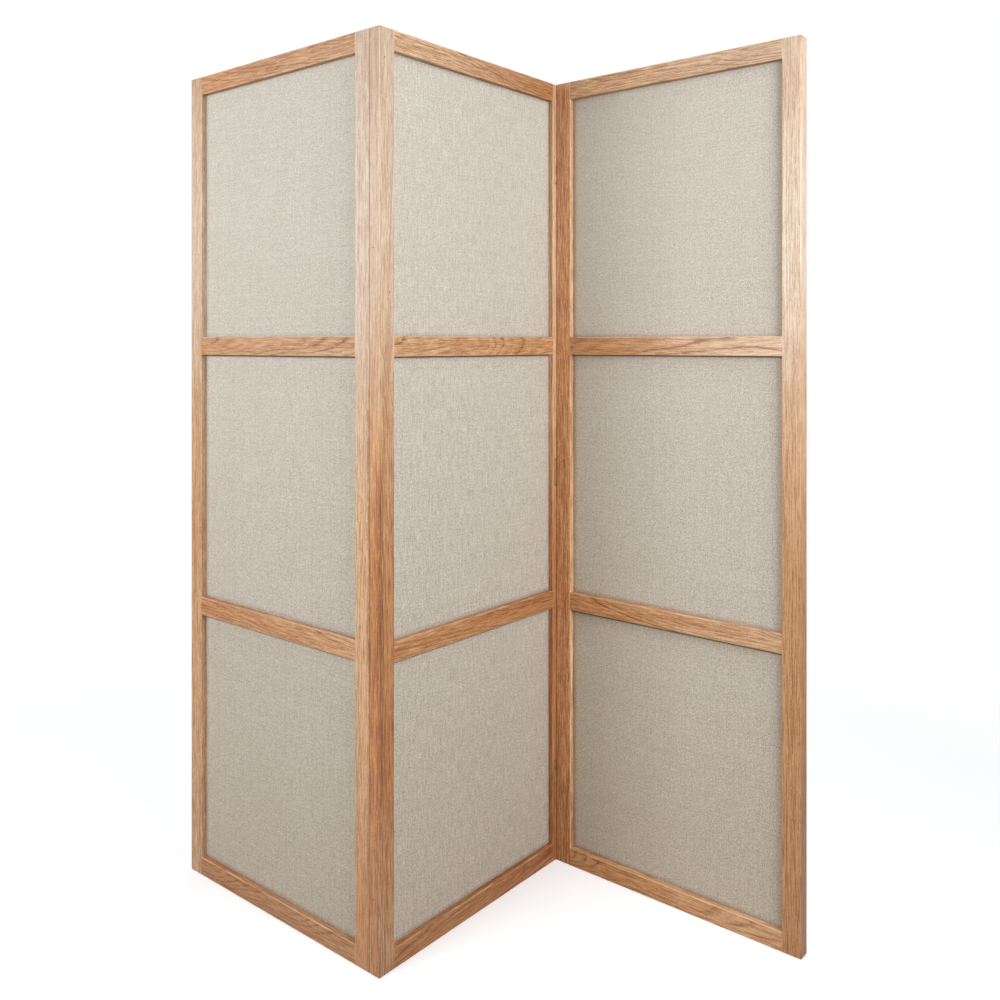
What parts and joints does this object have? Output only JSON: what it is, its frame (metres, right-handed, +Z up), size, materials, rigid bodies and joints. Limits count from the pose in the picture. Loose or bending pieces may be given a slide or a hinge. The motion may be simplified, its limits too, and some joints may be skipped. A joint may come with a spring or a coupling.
{
  "type": "folding screen",
  "caption": "Free-standing folding screen: hinged oak frames with tightly stretched linen bays, standing in a Z.",
  "frame": {"origin": "on the floor, under the middle of the centre panel", "axes": "+Z up; +X along the centre panel towards the right fold; +Y towards the back, where the left panel stands"},
  "size_m": [0.59, 1.2088, 1.8],
  "materials": {
    "oak": "clear satin oil",
    "linen": "undyed plain weave, matt",
    "board": "bare hardboard",
    "dowel": "bare beech",
    "brass": "satin"
  },
  "bodies": {
    "centre_panel": {"centre_panel_left_stile": "oak", "centre_panel_right_stile": "oak", "centre_panel_bottom_rail": "oak", "centre_panel_lower_rail": "oak", "centre_panel_upper_rail": "oak", "centre_panel_top_rail": "oak", "centre_panel_bottom_board": "board", "centre_panel_middle_board": "board", "centre_panel_top_board": "board", "centre_panel_bottom_linen_front": "linen", "centre_panel_bottom_linen_back": "linen", "centre_panel_middle_linen_front": "linen", "centre_panel_middle_linen_back": "linen", "centre_panel_top_linen_front": "linen", "centre_panel_top_linen_back": "linen", "centre_panel_dowels": "dowel", "left_fold_centre_leaves": "brass", "left_fold_pins": "brass", "left_fold_centre_screws": "brass", "right_fold_centre_leaves": "brass", "right_fold_pins": "brass", "right_fold_centre_screws": "brass"},
    "left_panel": {"left_panel_left_stile": "oak", "left_panel_right_stile": "oak", "left_panel_bottom_rail": "oak", "left_panel_lower_rail": "oak", "left_panel_upper_rail": "oak", "left_panel_top_rail": "oak", "left_panel_bottom_board": "board", "left_panel_middle_board": "board", "left_panel_top_board": "board", "left_panel_bottom_linen_front": "linen", "left_panel_bottom_linen_back": "linen", "left_panel_middle_linen_front": "linen", "left_panel_middle_linen_back": "linen", "left_panel_top_linen_front": "linen", "left_panel_top_linen_back": "linen", "left_panel_dowels": "dowel", "left_fold_side_leaves": "brass", "left_fold_side_screws": "brass"},
    "right_panel": {"right_panel_left_stile": "oak", "right_panel_right_stile": "oak", "right_panel_bottom_rail": "oak", "right_panel_lower_rail": "oak", "right_panel_upper_rail": "oak", "right_panel_top_rail": "oak", "right_panel_bottom_board": "board", "right_panel_middle_board": "board", "right_panel_top_board": "board", "right_panel_bottom_linen_front": "linen", "right_panel_bottom_linen_back": "linen", "right_panel_middle_linen_front": "linen", "right_panel_middle_linen_back": "linen", "right_panel_top_linen_front": "linen", "right_panel_top_linen_back": "linen", "right_panel_dowels": "dowel", "right_fold_side_leaves": "brass", "right_fold_side_screws": "brass"}
  },
  "joints": [
    {"name": "left_fold", "type": "hinge", "parent": "centre_panel", "child": "left_panel", "pos_m": [-0.2642, 0.0142, 0], "axis": [0, 0, -1], "range_deg": [0, 90]},
    {"name": "right_fold", "type": "hinge", "parent": "centre_panel", "child": "right_panel", "pos_m": [0.2642, -0.0142, 0], "axis": [0, 0, -1], "range_deg": [0, 90]}
  ]
}
